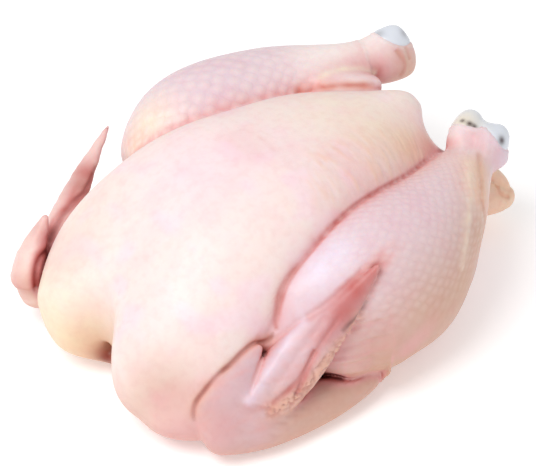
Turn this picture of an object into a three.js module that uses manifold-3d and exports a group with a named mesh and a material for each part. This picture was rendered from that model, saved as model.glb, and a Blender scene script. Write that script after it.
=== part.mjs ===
// A whole dressed chicken, raw, lying on its back with the breast up. The drumsticks reach back past the
// vent, which is open, and each wing is folded flat beside the shoulder with its tip pointing back and up.
//
// Millimetres, +Z up. The neck end points along -X and the tail along +X, so the bird's right side is
// towards -Y. The shape is laid out about the bird's middle line, then its back is cut flat to rest on and
// the whole is moved so that the origin is under the middle of its box.
import * as THREE from 'three';
import { mergeVertices } from 'three/addons/utils/BufferGeometryUtils.js';
import Module from 'manifold-3d';

const wasm = await Module();
wasm.setup();

// The body, from the neck end to the vent. Each row is one section across it:
// x, middle y, middle z, half width, rise to the keel, drop to the back.
const BODY = [
  [-96, -5, 34, 60, 36, 36],
  [-74, -5, 37, 67, 46, 39],
  [-46, -1, 41, 64, 54, 43],
  [-17, 0, 44, 58, 55, 45],
  [14, 0, 44, 52, 54, 45],
  [46, 0, 43, 49, 54, 43],
  [78, 0, 42, 44, 54.5, 38],
  [106, 0, 42, 36, 60, 30],
];
const FRONT_BLUNT = 0.36; // how square an end is: 1 is a ball's end, and 0 a flat cut
const REAR_BLUNT = 0.3;
const LIMB_BLUNT = 0.7;
const BACK_SQUARE = 0.78; // the back is broader and flatter than an ellipse, which is 1
const REAR_PINCH = 0.4; // the breast narrows to the keel at its rear: what this adds to an ellipse's 1
const CROWN = 0.42; // over its middle the breast is broader and flatter than an ellipse: what this takes away
const REAR_LEAN = 0.32; // there it also leans forward, by this share of its height
const LOBE = { right: 22, left: 20 }; // the two front lobes stand this far forward of the notch at the neck
const LOBE_HALF_GAP = { right: 20, left: 15 }; // distance from the middle line where a lobe nears that reach
const LOBE_ROUND = 0.4; // share of the reach that a lobe loses at its outer edge
const LOBE_FADE = 6; // how fast the reach dies away towards the tail
const LOBE_TUCK = { right: 0.7, left: 0 }; // share of the reach that a lobe loses down at the back
const REST_HEIGHT = 0.6; // the back is cut flat here

// Limbs: the route through the joints, and the half thickness across and upright at each of its points. A
// turn tips the section about the route, in degrees.
const RIGHT = {
  thigh: {
    route: [[88, -36, 27], [54, -52, 33], [16, -60, 36], [-36, -58, 37]],
    across: [22, 29.5, 36, 24],
    upright: [24, 30, 34, 28],
  },
  thighPad: {
    route: [[-25, -73, 32], [-8, -81, 29], [5, -84, 29.5], [20, -80, 35.5], [34, -72, 46]],
    across: [11, 10.5, 11, 10, 8],
    upright: [11, 10.5, 11, 10, 8],
  },
  drumstick: {
    route: [[-37, -55, 51], [6, -60, 58], [50, -55, 58.5], [88, -41, 61], [107, -33, 67]],
    across: [20, 29, 27.5, 17.5, 12],
    upright: [21, 26.5, 21.5, 14.5, 11],
  },
  kneePad: { route: [[-52, -58, 36], [-42, -60, 42], [-30, -62, 46]], across: [8, 9, 9], upright: [8, 9, 10] },
  innerKnob: { route: [[94, -31, 69], [115, -20, 73]], across: [9, 7], upright: [9, 7] },
  outerKnob: { route: [[101, -37, 68], [121, -36, 69]], across: [9, 6.6], upright: [9, 6.6] },
  lowerKnob: { route: [[99, -40, 63], [118, -41, 58.5]], across: [8, 5.6], upright: [8, 5.6] },
  upperArm: {
    route: [[-99, -36, 18], [-69, -50, 20], [-39, -64, 18.5], [-8, -78, 14]],
    across: [32, 29, 19, 9],
    upright: [20, 20.5, 17, 9],
  },
  forearm: {
    route: [[-1, -85, 13], [-24, -83.5, 12.5], [-46, -80.5, 12.5], [-67, -76, 15], [-90, -70, 15]],
    across: [8.5, 10, 11, 14, 15],
    upright: [8.5, 10, 11.5, 15, 16],
  },
  hand: {
    route: [[-92, -69, 18], [-60, -76, 30], [-31, -78, 50], [0, -81, 77]],
    across: [15, 14, 11, 3],
    upright: [13, 9, 7, 2.5],
    turn: 42,
  },
  thumb: {
    route: [[-90, -66, 21], [-73, -67, 36], [-55, -65, 48]],
    across: [15, 12, 3.2],
    upright: [11, 7, 2.6],
    turn: 42,
  },
  web: {
    route: [[-66, -77, 14], [-53, -79, 23], [-40, -80, 34], [-25, -80, 47], [-15, -81, 57]],
    across: [4, 5, 3.8, 3.6, 3],
    upright: [4, 3.4, 2.6, 2.4, 2],
    turn: 42,
  },
};
const LEFT = {
  thigh: {
    route: [[84, 34, 24], [45, 54, 30], [8, 60, 38], [-27, 58, 52]],
    across: [26, 34, 34, 24],
    upright: [22, 29, 30, 24],
  },
  drumstick: {
    route: [[-37.5, 60, 62], [-2, 66, 69], [44, 60, 73], [84, 46, 79], [112, 38, 81]],
    across: [19.5, 29, 25, 14, 12],
    upright: [20, 27, 22, 14, 12],
  },
  legPad: { route: [[60, 29, 79], [73, 24.5, 80.5], [87, 19.5, 81.5]], across: [10, 8.5, 5.5], upright: [9, 8, 6] },
  innerKnob: { route: [[96, 40, 76], [120.5, 32, 73]], across: [10, 7], upright: [10, 7] },
  outerKnob: { route: [[96, 42, 81], [119.5, 40.5, 89]], across: [10, 7.6], upright: [10, 7.6] },
  lowerKnob: { route: [[100, 38, 80], [121, 34, 80]], across: [10, 6.6], upright: [10, 6.6] },
  upperArm: {
    route: [[-60, 50, 24], [-40, 68, 20], [-20, 82, 18]],
    across: [16, 17, 12],
    upright: [16, 16, 12],
  },
  forearm: {
    route: [[-20, 84, 18], [-50, 76, 20], [-80, 64, 21], [-107, 52, 23]],
    across: [12, 14, 14, 13],
    upright: [12, 12, 14, 16],
  },
  hand: {
    route: [[-107, 52, 29], [-85, 62, 38.5], [-65, 74.5, 47], [-45, 86.5, 55.5], [-26, 98, 62]],
    across: [10, 8, 6.8, 4.4, 1.5],
    upright: [10, 7.5, 6, 3.8, 1.5],
  },
  thumb: {
    route: [[-108.5, 50, 29], [-99.5, 56, 43], [-87, 61.5, 57.5]],
    across: [10.5, 7.5, 2.5],
    upright: [12, 7, 2.5],
  },
};
// The swell of the breast above the left leg's knee and the left wing.
const SWELL = {
  route: [
    [14, 22, 68], [-7, 25, 69], [-27, 29, 67], [-44, 32, 60.5],
    [-61, 34.5, 52.5], [-76, 33, 45], [-89, 27, 38], [-99, 19, 32],
  ],
  across: [24, 25.5, 25, 24, 23, 22.5, 21, 18],
  upright: [24, 25.5, 25, 24, 23, 22.5, 21, 18],
};
const RUMP = { route: [[30, 0, 24], [74, -1, 25], [108, -5, 22]], across: [60, 52, 24], upright: [22, 22, 16] };
// The tail: its root, a lobe below, and the rim that curls over it.
const TAIL = [
  { route: [[92, -6, 17], [116, -18, 16], [129, -27, 14]], across: [24, 14, 7], upright: [16, 11, 7] },
  { route: [[110, -14, 18], [124, -25, 18], [135, -32, 14]], across: [10, 9, 5], upright: [10, 9.5, 6] },
  { route: [[125, -15, 30], [132, -22, 27], [136.5, -28.5, 20]], across: [4, 4, 4], upright: [5, 4.5, 4] },
  { route: [[136.5, -28, 21], [136, -30, 16], [133, -31, 11.5]], across: [3.6, 3.6, 3], upright: [4, 4, 3] },
];
const VENT = {
  route: [[124, -8, 34], [96, -4, 35], [60, 0, 38], [30, 0, 41]],
  across: [23, 22, 20, 12],
  upright: [14, 13, 13, 9],
};
// The skin's edge curves in beside the right hock.
const VENT_EDGE = {
  route: [[122, 10, 47], [99, -13, 70], [76, -36, 94]],
  across: [7.5, 7.5, 7.5],
  upright: [14, 14, 14],
  turn: 28,
};

// Faces around and along each kind of piece.
const BODY_FACES = [38, 29];
const RUMP_FACES = [20, 12];
const LIMB_FACES = [20, 16];
const SMALL_FACES = [12, 10];
const SMALL_LIMBS = ['innerKnob', 'outerKnob', 'lowerKnob', 'thumb', 'thighPad', 'kneePad', 'legPad', 'web'];

// A Catmull-Rom curve through rows of numbers, at share s of the way from the first row to the last. Its
// slope at a row is half of the chord between the row's neighbours.
function through(rows, s) {
  const last = rows.length - 1;
  const at = Math.min(s * last, last - 1e-9);
  const i = Math.floor(at);
  const f = at - i;
  const row = (k) => rows[THREE.MathUtils.clamp(k, 0, last)];
  return rows[0].map((_, c) => {
    const [a, b, d, e] = [row(i - 1)[c], row(i)[c], row(i + 1)[c], row(i + 2)[c]];
    const m0 = (d - a) / 2;
    const m1 = (e - b) / 2;
    return b + m0 * f + (3 * (d - b) - 2 * m0 - m1) * f * f + (2 * (b - d) + m0 + m1) * f * f * f;
  });
}

// A sine or cosine raised to a power with its sign kept. What rounding leaves of a zero becomes zero, so
// poles and seams close.
const power = (t, n) => (Math.abs(t) < 1e-6 ? 0 : Math.sign(t) * Math.abs(t) ** n);

// A closed solid: each vertex of a unit ball goes where place(vertex, share along, fullness, angle) puts it.
// Fullness is the section's size, 1 in the middle and 0 at the two poles, before any blunting.
function blob([around, along], place) {
  const ball = new THREE.SphereGeometry(1, around, along);
  const points = ball.getAttribute('position');
  const v = new THREE.Vector3();
  for (let i = 0; i < points.count; i++) {
    v.fromBufferAttribute(points, i);
    const polar = Math.acos(THREE.MathUtils.clamp(v.y, -1, 1));
    place(v, (1 - Math.cos(polar)) / 2, Math.sin(polar), Math.atan2(v.z, v.x));
    points.setXYZ(i, v.x, v.y, v.z);
  }
  return solid(ball);
}

function solid(geometry) {
  geometry.deleteAttribute('normal');
  geometry.deleteAttribute('uv');
  const merged = mergeVertices(geometry, 1e-3);
  return new wasm.Manifold(
    new wasm.Mesh({
      numProp: 3,
      vertProperties: merged.getAttribute('position').array,
      triVerts: new Uint32Array(merged.index.array),
    })
  );
}

// A limb: ellipses set square to its route, closing to a blunt end at each side.
function limb({ route, across, upright, turn = 0 }, faces = LIMB_FACES) {
  const rows = route.map((point, i) => [...point, across[i], upright[i]]);
  const centre = (s) => new THREE.Vector3(...through(rows, THREE.MathUtils.clamp(s, 0, 1)).slice(0, 3));
  const upward = new THREE.Vector3(0, 0, 1);
  return blob(faces, (v, s, fullness, angle) => {
    const [x, y, z, wide, high] = through(rows, s);
    const forward = centre(s + 0.01).sub(centre(s - 0.01)).normalize();
    const side = new THREE.Vector3().crossVectors(upward, forward).normalize();
    const top = new THREE.Vector3().crossVectors(forward, side);
    const tip = THREE.MathUtils.degToRad(turn);
    side.applyAxisAngle(forward, tip);
    top.applyAxisAngle(forward, tip);
    const full = power(fullness, LIMB_BLUNT);
    v.set(x, y, z)
      .addScaledVector(side, Math.cos(angle) * wide * full)
      .addScaledVector(top, Math.sin(angle) * high * full);
  });
}

// The body: egg-like sections from the neck to the vent, with a notch between two lobes in front.
function body() {
  return blob(BODY_FACES, (v, s, fullness, angle) => {
    const [x, y, z, half, rise, drop] = through(BODY, s);
    const full = power(fullness, s < 0.5 ? FRONT_BLUNT : REAR_BLUNT);
    const underside = Math.sin(angle) < -1e-6;
    const crown = 1 + REAR_PINCH * s ** 4 - CROWN * Math.sin(Math.PI * s ** 1.5) ** 2;
    const squareness = underside ? BACK_SQUARE : crown;
    const out = power(Math.cos(angle), squareness) * half * full;
    const lift = power(Math.sin(angle), squareness) * (underside ? drop : rise) * full;
    const side = out < 0 ? 'right' : 'left';
    const apart = 1 - Math.exp(-((out / LOBE_HALF_GAP[side]) ** 2));
    const low = underside ? LOBE_TUCK[side] * Math.sin(angle) ** 2 : 0;
    const lobe = LOBE[side] * apart * (1 - low) * (1 - LOBE_ROUND * full ** 2) * (1 - s) ** LOBE_FADE;
    v.set(x - lobe - REAR_LEAN * lift * s ** 6, y + out, z + lift);
  });
}

// The board under the bird, to cut its back flat with.
function board() {
  const size = 400;
  return solid(new THREE.BoxGeometry(size, size, size).translate(0, 0, REST_HEIGHT - size / 2));
}

const trunk = body().subtract(limb(VENT_EDGE, SMALL_FACES));
const pieces = [trunk, limb(SWELL, RUMP_FACES), limb(RUMP, RUMP_FACES), ...TAIL.map((fold) => limb(fold, SMALL_FACES))];
for (const side of [RIGHT, LEFT]) {
  for (const [name, shape] of Object.entries(side)) {
    pieces.push(limb(shape, SMALL_LIMBS.includes(name) ? SMALL_FACES : LIMB_FACES));
  }
}
const whole = pieces.reduce((a, b) => a.add(b)).subtract(limb(VENT)).subtract(board());

const mesh = whole.getMesh();
const geometry = new THREE.BufferGeometry();
geometry.setAttribute('position', new THREE.BufferAttribute(new Float32Array(mesh.vertProperties), 3));
geometry.setIndex(new THREE.BufferAttribute(new Uint32Array(mesh.triVerts), 1));
geometry.computeBoundingBox();
const middle = geometry.boundingBox.getCenter(new THREE.Vector3());
geometry.translate(-middle.x, -middle.y, -geometry.boundingBox.min.z);
geometry.computeVertexNormals();

const skin = new THREE.MeshStandardMaterial({ color: 0xf3dcd6, roughness: 0.4, metalness: 0 });
const chicken = new THREE.Mesh(geometry, skin);
chicken.name = 'chicken';
const part = new THREE.Group();
part.add(chicken);
export default part;
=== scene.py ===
import bpy
import numpy as np
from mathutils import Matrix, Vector


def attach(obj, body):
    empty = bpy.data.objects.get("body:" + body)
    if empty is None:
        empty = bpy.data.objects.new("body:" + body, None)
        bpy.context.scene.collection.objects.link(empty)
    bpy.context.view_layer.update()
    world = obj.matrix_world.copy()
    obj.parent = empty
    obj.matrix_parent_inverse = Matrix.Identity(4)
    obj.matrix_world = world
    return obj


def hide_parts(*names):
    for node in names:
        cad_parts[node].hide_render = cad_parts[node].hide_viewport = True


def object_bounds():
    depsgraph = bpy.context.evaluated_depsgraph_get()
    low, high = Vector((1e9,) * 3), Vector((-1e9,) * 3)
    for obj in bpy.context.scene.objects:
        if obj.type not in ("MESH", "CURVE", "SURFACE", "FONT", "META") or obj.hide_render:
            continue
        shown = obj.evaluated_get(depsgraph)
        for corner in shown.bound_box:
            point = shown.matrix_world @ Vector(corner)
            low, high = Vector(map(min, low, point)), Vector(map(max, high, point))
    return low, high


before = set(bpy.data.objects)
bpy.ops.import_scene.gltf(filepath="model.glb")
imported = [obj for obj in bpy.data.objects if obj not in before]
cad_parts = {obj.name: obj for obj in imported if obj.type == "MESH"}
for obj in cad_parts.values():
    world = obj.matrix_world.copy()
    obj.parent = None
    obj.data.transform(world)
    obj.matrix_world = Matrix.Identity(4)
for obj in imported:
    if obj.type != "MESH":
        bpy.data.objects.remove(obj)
cad_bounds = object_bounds()

# ---------------------------------------------------------------------------------------------------
# The board, the light and the camera. The bird lies on a plain white board in a white room, lit by one
# large lamp above and to the left. Lengths here are metres, and the bird's own are millimetres.
# ---------------------------------------------------------------------------------------------------
MM = 0.001
SHIFT = np.array([-12.968, -1.598, -0.6])  # from the bird's own axes to its box's middle and underside
AIM_HEIGHT = 42  # the camera's aim above the lowest point of the back, in millimetres
MIDDLE = Vector(MM * (SHIFT + [0, 0, AIM_HEIGHT]))
VIEW_TURN = np.radians(-38)
VIEW_RISE = np.radians(40)
VIEW_DISTANCE = 0.85
SENSOR = 36.0
LENS = 117.03
ROOM_LIGHT = 0.64
LAMP_TURN = np.radians(-82)
LAMP_RISE = np.radians(58)
LAMP_DISTANCE = 0.95
LAMP_WIDTH = 0.55
LAMP_POWER = 4.7
BOARD_WIDTH = 6.0
BOARD_GLOW = 0.26


def away(turn, rise):
    """The unit vector from the middle towards a place that is turned round +Z from -Y, and raised."""
    return Vector((np.sin(turn) * np.cos(rise), -np.cos(turn) * np.cos(rise), np.sin(rise)))


def look_at(thing, place, target):
    """Puts a lamp or camera at a place, with its -Z axis towards the target and its +Y axis up."""
    thing.location = place
    thing.rotation_euler = (target - place).to_track_quat("-Z", "Y").to_euler()


camera = bpy.data.objects.new("camera", bpy.data.cameras.new("camera"))
camera.data.lens = LENS
camera.data.sensor_width = SENSOR
look_at(camera, MIDDLE + VIEW_DISTANCE * away(VIEW_TURN, VIEW_RISE), MIDDLE)
bpy.context.collection.objects.link(camera)
bpy.context.scene.camera = camera

world = bpy.data.worlds.new("white room")
world.use_nodes = True
world.node_tree.nodes["Background"].inputs["Color"].default_value = (1, 1, 1, 1)
world.node_tree.nodes["Background"].inputs["Strength"].default_value = ROOM_LIGHT
bpy.context.scene.world = world
bpy.context.scene.view_settings.view_transform = "Standard"

lamp = bpy.data.objects.new("window", bpy.data.lights.new("window", "AREA"))
lamp.data.shape = "DISK"
lamp.data.size = LAMP_WIDTH
lamp.data.energy = LAMP_POWER
look_at(lamp, MIDDLE + LAMP_DISTANCE * away(LAMP_TURN, LAMP_RISE), MIDDLE)
bpy.context.collection.objects.link(lamp)

board_mesh = bpy.data.meshes.new("board")
board_corners = BOARD_WIDTH / 2 * np.array([[-1, -1, 0], [1, -1, 0], [1, 1, 0], [-1, 1, 0]])
board_mesh.from_pydata(board_corners.tolist(), [], [[0, 1, 2, 3]])
board = bpy.data.objects.new("board", board_mesh)
board_white = bpy.data.materials.new("board white")
board_white.use_nodes = True
board_surface = board_white.node_tree.nodes["Principled BSDF"].inputs
board_surface["Base Color"].default_value = (0.95, 0.95, 0.95, 1)
board_surface["Roughness"].default_value = 0.9
board_surface["Emission Color"].default_value = (1, 1, 1, 1)
board_surface["Emission Strength"].default_value = BOARD_GLOW
board_mesh.materials.append(board_white)
bpy.context.collection.objects.link(board)

# ---------------------------------------------------------------------------------------------------
# The skin. It wraps breast, back, legs and wings in one piece, so it is one closed surface: the zero
# level of a field of distances in which body and limbs are rounded into each other. Millimetres.
# ---------------------------------------------------------------------------------------------------
# The body from the neck to the vent: x, middle y, middle z, half width, rise to the keel, drop to the back.
BODY = np.array([
    [-96, -5, 34, 60, 36, 36],
    [-74, -5, 37, 67, 46, 39],
    [-46, -1, 41, 64, 54, 43],
    [-17, 0, 44, 58, 55, 45],
    [14, 0, 44, 52, 54, 45],
    [46, 0, 43, 49, 54, 43],
    [78, 0, 42, 44, 54.5, 38],
    [106, 0, 42, 36, 60, 30],
], float)
FRONT_BLUNT = 0.36  # how square an end is: 1 is a ball's end, and 0 a flat cut
REAR_BLUNT = 0.3
LIMB_BLUNT = 0.7
BACK_SQUARE = 0.78  # the back is broader and flatter than an ellipse, which is 1
CROWN = 0.42  # so is the breast over its middle: what this takes from an ellipse's 1
REAR_PINCH = 0.4  # at its rear the breast narrows to the keel: what this adds to an ellipse's 1
REAR_LEAN = 0.32  # there it also leans forward, by this share of its height
LOBE = {"right": 22, "left": 20}  # how far the two front lobes stand forward of the notch at the neck
LOBE_HALF_GAP = {"right": 20, "left": 15}  # from the middle line to where a lobe nears that reach
LOBE_ROUND = 0.4  # share of the reach that a lobe loses at its outer edge
LOBE_FADE = 6  # how fast the reach dies away towards the tail
LOBE_TUCK = {"right": 0.7, "left": 0}  # share of the reach that a lobe loses down at the back
REST_HEIGHT = 0.6  # the back is cut flat here

# Limbs, one row for each point of the route: x, y, z, half thickness across and upright. A sixth number
# turns the section about the route, in degrees.
RIGHT = {
    "thigh": [[88, -36, 27, 22, 24], [54, -52, 33, 29.5, 30], [16, -60, 36, 36, 34], [-36, -58, 37, 24, 28]],
    "drumstick": [[-40, -54, 52, 22, 23], [6, -60, 58, 29, 26.5], [50, -55, 58.5, 27.5, 21.5],
                  [88, -41, 61, 17.5, 14.5], [107, -33, 67, 12, 11]],
    "pads": [[[-25, -73, 32, 11, 11], [-17, -79, 30, 12, 12], [-8, -81, 29, 10, 10],
              [5, -84, 29.5, 10.5, 10.5], [20, -80, 35.5, 9.5, 9.5], [34, -72, 46, 8, 8]],
             [[-52, -58, 36, 8, 8], [-42, -60, 42, 9, 9], [-30, -62, 46, 9, 10]]],
    "hock": [[[94, -31, 69, 8, 8], [115, -20, 73, 6.5, 6.5]],
             [[101, -37, 68, 8, 8], [121, -36, 69, 6.3, 6.3]],
             [[99, -40, 63, 7, 7], [118, -41, 58.5, 5.3, 5.3]]],
    "upper arm": [[-99, -36, 18, 32, 20], [-69, -50, 20, 29, 20.5], [-39, -64, 18.5, 19, 17],
                  [-8, -78, 14, 9, 9]],
    "forearm": [[-1, -85, 13, 8.5, 8.5], [-24, -83.5, 12.5, 10, 10], [-46, -80.5, 12.5, 11, 11.5],
                [-67, -76, 15, 14, 15], [-90, -70, 15, 15, 16]],
    "hand": [[-92, -69, 18, 15, 13, 42], [-60, -76, 30, 14, 9, 42], [-31, -78, 50, 11, 7, 42],
             [0, -81, 77, 3, 2.5, 42]],
    "thumb": [[-90, -66, 21, 15, 11, 42], [-73, -67, 36, 12, 7, 42], [-55, -65, 48, 3.2, 2.6, 42]],
    "web": [[-66, -77, 14, 4, 4, 42], [-53, -79, 23, 5, 3.4, 42], [-40, -80, 34, 3.8, 2.6, 42],
            [-25, -80, 47, 3.6, 2.4, 42], [-15, -81, 57, 3, 2, 42]],
}
LEFT = {
    "thigh": [[84, 34, 24, 26, 22], [45, 54, 30, 34, 29], [8, 60, 38, 34, 30], [-27, 58, 52, 24, 24]],
    "drumstick": [[-37.5, 60, 62, 19.5, 20], [-2, 66, 69, 29, 27], [44, 60, 73, 25, 22],
                  [84, 46, 79, 14, 14], [112, 38, 81, 12, 12]],
    "pads": [[[60, 29, 79, 9, 8], [73, 24.5, 80.5, 7.5, 7], [87, 19.5, 81.5, 4.5, 5]]],
    "hock": [[[96, 40, 76, 9, 9], [120.5, 32, 73, 6.5, 6.5]],
             [[96, 42, 81, 9, 9], [119.5, 40.5, 89, 7.2, 7.2]],
             [[100, 38, 80, 9, 9], [121, 34, 80, 6, 6]]],
    "upper arm": [[-60, 50, 24, 16, 16], [-40, 68, 20, 17, 16], [-20, 82, 18, 12, 12]],
    "forearm": [[-20, 84, 18, 12, 12], [-50, 76, 20, 14, 12], [-80, 64, 21, 14, 14], [-107, 52, 23, 13, 16]],
    "hand": [[-107, 52, 29, 10, 10], [-85, 62, 38.5, 8, 7.5], [-65, 74.5, 47, 6.8, 6],
             [-45, 86.5, 55.5, 4.4, 3.8], [-26, 98, 62, 1.5, 1.5]],
    "thumb": [[-108.5, 50, 29, 10.5, 12], [-99.5, 56, 43, 7.5, 7], [-87, 61.5, 57.5, 2.5, 2.5]],
}
# The breast's swell above the left knee and wing, the rump, the tail and the folds that curl up at its end.
SWELL = [[14, 22, 68, 24, 24], [-7, 25, 69, 25.5, 25.5], [-27, 29, 67, 25, 25], [-44, 32, 60.5, 24, 24],
         [-61, 34.5, 52.5, 23, 23], [-76, 33, 45, 22.5, 22.5], [-89, 27, 38, 21, 21], [-99, 19, 32, 18, 18]]
RUMP = [[30, 0, 24, 60, 22], [74, -1, 25, 52, 22], [108, -5, 22, 24, 16]]
TAIL = [[92, -6, 17, 24, 16], [116, -18, 16, 14, 11], [129, -27, 14, 7, 7]]
TAIL_CURL = [[[125, -15, 30, 4, 5], [132, -22, 27, 4, 4.5], [136.5, -28.5, 20, 3.8, 4]],
             [[136.5, -28, 21, 3.6, 4], [136, -30, 16, 3.6, 4], [133, -31, 11.5, 3, 3]],
             [[110, -14, 18, 10, 10], [124, -25, 18, 9, 9.5], [135, -32, 14, 5, 6]]]
# Where the drumsticks' joint ends come out of the skin: the leg, and a ball's middle and radius. The skin
# ends where the ball meets the leg.
JOINT_ENDS = [
    ("right", [110, -22.5, 75], 11.5),
    ("right", [117, -37, 71.5], 10),
    ("left", [114, 41, 91], 10.5),
]
# What is taken out of the rear: a trough that hollows the rear edge of the breast, and the vent.
VENT_EDGE = [[122, 10, 47, 7.5, 14, 28], [99, -13, 70, 7.5, 14, 28], [76, -36, 94, 7.5, 14, 28]]
VENT = [[124, -8, 34, 23, 14], [96, -4, 35, 22, 13], [60, 0, 38, 20, 13], [30, 0, 41, 12, 9]]
# Clefts between folds that don't touch: the gap between thigh and elbow, and the hole at the neck.
ELBOW_GAP = [[-39, -75, 22, 11.5, 5.2, -47], [-31, -78.5, 20.5, 11, 4.4, -47],
             [-21, -82, 18.5, 8, 1.8, -47]]
NECK_HOLE = [[-112, 0, 18, 3, 4], [-98, -1, 21, 3, 4.5], [-86, -1, 22, 2, 3]]

# The grid of points on which the field is worked out: how far apart they are, and its two corners.
STEP = 1.0
GRID_LOW = np.array([-120.0, -101.0, -5.0])
GRID_HIGH = np.array([150.0, 105.0, 105.0])
FAR = 30.0  # a distance past this is put down as this
grid_axes = [np.arange(low, high, STEP) for low, high in zip(GRID_LOW, GRID_HIGH)]


def through(rows, share):
    """A Catmull-Rom curve through rows of numbers, at shares 0 to 1 of the way along. Its slope at a row is
    half of the chord between the row's neighbours."""
    rows = np.asarray(rows, float)
    last = len(rows) - 1
    at = np.clip(share * last, 0, last - 1e-9)
    i = at.astype(int)
    f = (at - i)[:, None]
    a, b, d, e = (rows[np.clip(i + k, 0, last)] for k in (-1, 0, 1, 2))
    m0, m1 = (d - a) / 2, (e - b) / 2
    return b + m0 * f + (3 * (d - b) - 2 * m0 - m1) * f**2 + (2 * (b - d) + m0 + m1) * f**3


LIMB_REACH = 0.8  # how far past its ends a limb is worked out, as a share of its length
LIMB_SAMPLES = 209
LIMB_NUDGE = 0.01


def limb_table(limb):
    """Centre, slope, side axis, top axis and half thicknesses at even shares from -LIMB_REACH to
    1 + LIMB_REACH. Past its ends the route runs straight on. The slope is taken between two points of the
    route, LIMB_NUDGE to either side."""
    share = np.linspace(-LIMB_REACH, 1 + LIMB_REACH, LIMB_SAMPLES)
    kept = np.clip(share, 0, 1)
    rows = through(limb, kept)
    ahead, behind = np.clip(kept + LIMB_NUDGE, 0, 1), np.clip(kept - LIMB_NUDGE, 0, 1)
    slope = (through(limb, ahead) - through(limb, behind))[:, :3] / (ahead - behind)[:, None]
    centre = rows[:, :3] + slope * (share - kept)[:, None]
    forward = slope / np.linalg.norm(slope, axis=1, keepdims=True)
    side = np.cross([0, 0, 1], forward)
    side /= np.linalg.norm(side, axis=1, keepdims=True)
    top = np.cross(forward, side)
    if rows.shape[1] > 5:
        turn = np.radians(rows[:, 5:])
        side, top = np.cos(turn) * side + np.sin(turn) * top, np.cos(turn) * top - np.sin(turn) * side
    return np.hstack([centre, slope, side, top, rows[:, 3:5]]).astype(np.float32)


def along(limb, x, y, z):
    """Where points lie on a limb: the share of the way along it, and the offsets to its side and top, in half
    thicknesses. The share starts from the chord and is moved four times along the slope, until the centre
    there is the nearest one."""
    table = limb_table(limb)
    start, chord = np.array(limb[0][:3]), np.subtract(limb[-1][:3], limb[0][:3])
    share = sum((p - s) * c for p, s, c in zip((x, y, z), start, chord)) / (chord @ chord)

    def columns(first, count):
        at = np.clip((share + LIMB_REACH) / (1 + 2 * LIMB_REACH), 0, 1 - 1e-6) * (LIMB_SAMPLES - 1)
        i = at.astype(np.int32)
        f = (at - i).astype(np.float32)
        return [table[i, c] * (1 - f) + table[i + 1, c] * f for c in range(first, first + count)]

    for _ in range(4):
        cx, cy, cz, sx, sy, sz = columns(0, 6)
        move = ((x - cx) * sx + (y - cy) * sy + (z - cz) * sz) / (sx * sx + sy * sy + sz * sz)
        share = np.clip(share + move, -LIMB_REACH, 1 + LIMB_REACH)
    cx, cy, cz, _, _, _, ax, ay, az, bx, by, bz, wide, high = columns(0, 14)
    across = ((x - cx) * ax + (y - cy) * ay + (z - cz) * az) / wide
    up = ((x - cx) * bx + (y - cy) * by + (z - cz) * bz) / high
    return share, across, up


def limb_level(limb, x, y, z):
    """1 on a limb's surface, less inside: the radius of its section raised to 1 / blunt, and its share made
    to run from -1 to 1, put together as the sides of a right triangle."""
    share, across, up = along(limb, x, y, z)
    return np.sqrt((1 - 2 * share) ** 2 + (across**2 + up**2) ** (1 / LIMB_BLUNT))


def body_level(x, y, z):
    """1 on the body's surface, less inside: radius and share are put together as a limb's are. The share is
    found from x, and put right three times for how far the front lobes stand forward and the breast's rear
    leans."""
    share_at = np.linspace(0, 1, 201)
    rows = through(BODY, share_at)
    ends = (rows[-1, 0] - rows[0, 0]) / 2
    stations = np.concatenate([[rows[0, 0] - ends], rows[:, 0], [rows[-1, 0] + ends]])
    shares = np.concatenate([[-0.5], share_at, [1.5]])
    moved = x
    for _ in range(4):
        share = np.interp(moved, stations, shares).astype(np.float32)
        kept = np.clip(share, 0, 1)
        out = y - np.interp(kept, share_at, rows[:, 1])
        lift = z - np.interp(kept, share_at, rows[:, 2])
        half = np.interp(kept, share_at, rows[:, 3])
        rise, drop = np.interp(kept, share_at, rows[:, 4]), np.interp(kept, share_at, rows[:, 5])
        tall = np.where(lift < 0, drop, rise)
        crown = 1 + REAR_PINCH * kept**4 - CROWN * np.sin(np.pi * kept**1.5) ** 2
        square = np.where(lift < 0, BACK_SQUARE, crown)
        power = 2 / square
        radius = ((np.abs(out) / half) ** power + (np.abs(lift) / tall) ** power) ** (square / 2)
        reach = np.where(out < 0, LOBE["right"], LOBE["left"])
        gap = np.where(out < 0, LOBE_HALF_GAP["right"], LOBE_HALF_GAP["left"])
        apart = 1 - np.exp(-((out / gap) ** 2))
        rounding = 1 - LOBE_ROUND * np.minimum(radius, 1.2) ** 2
        tuck = np.where(out < 0, LOBE_TUCK["right"], LOBE_TUCK["left"]) * np.clip(-lift / tall, 0, 1) ** 2
        forward = reach * apart * rounding * (1 - tuck) * (1 - kept) ** LOBE_FADE
        moved = x + forward + REAR_LEAN * lift * kept**6
    blunt = np.where(share < 0.5, FRONT_BLUNT, REAR_BLUNT)
    return np.sqrt((1 - 2 * share) ** 2 + np.minimum(radius, 3) ** (2 / blunt))


def distance(level):
    """Distance to where a level is 1, which near there is what it is over 1, divided by its slope."""
    steep = np.sqrt(sum(slope * slope for slope in np.gradient(level, STEP)))
    return np.clip((level - 1) / np.maximum(steep, 1e-3), -FAR, FAR).astype(np.float32)


def joined(a, b, round_off):
    """Two distances as one. Where they are within round_off of each other a fillet fills the corner."""
    near = np.clip(1 - np.abs(a - b) / round_off, 0, 1)
    return np.minimum(a, b) - round_off * near * near / 4


def without(a, b, round_off):
    """The distance of the first form with the second taken out of it, and the rim between them rounded."""
    return -joined(-a, b, round_off)


def place(near):
    """The grid's points within the slices given, as three arrays of X, Y and Z."""
    return np.meshgrid(*[axis[s].astype(np.float32) for axis, s in zip(grid_axes, near)], indexing="ij")


LIMB_MARGIN = 16  # how far round a limb its distance is worked out


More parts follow.
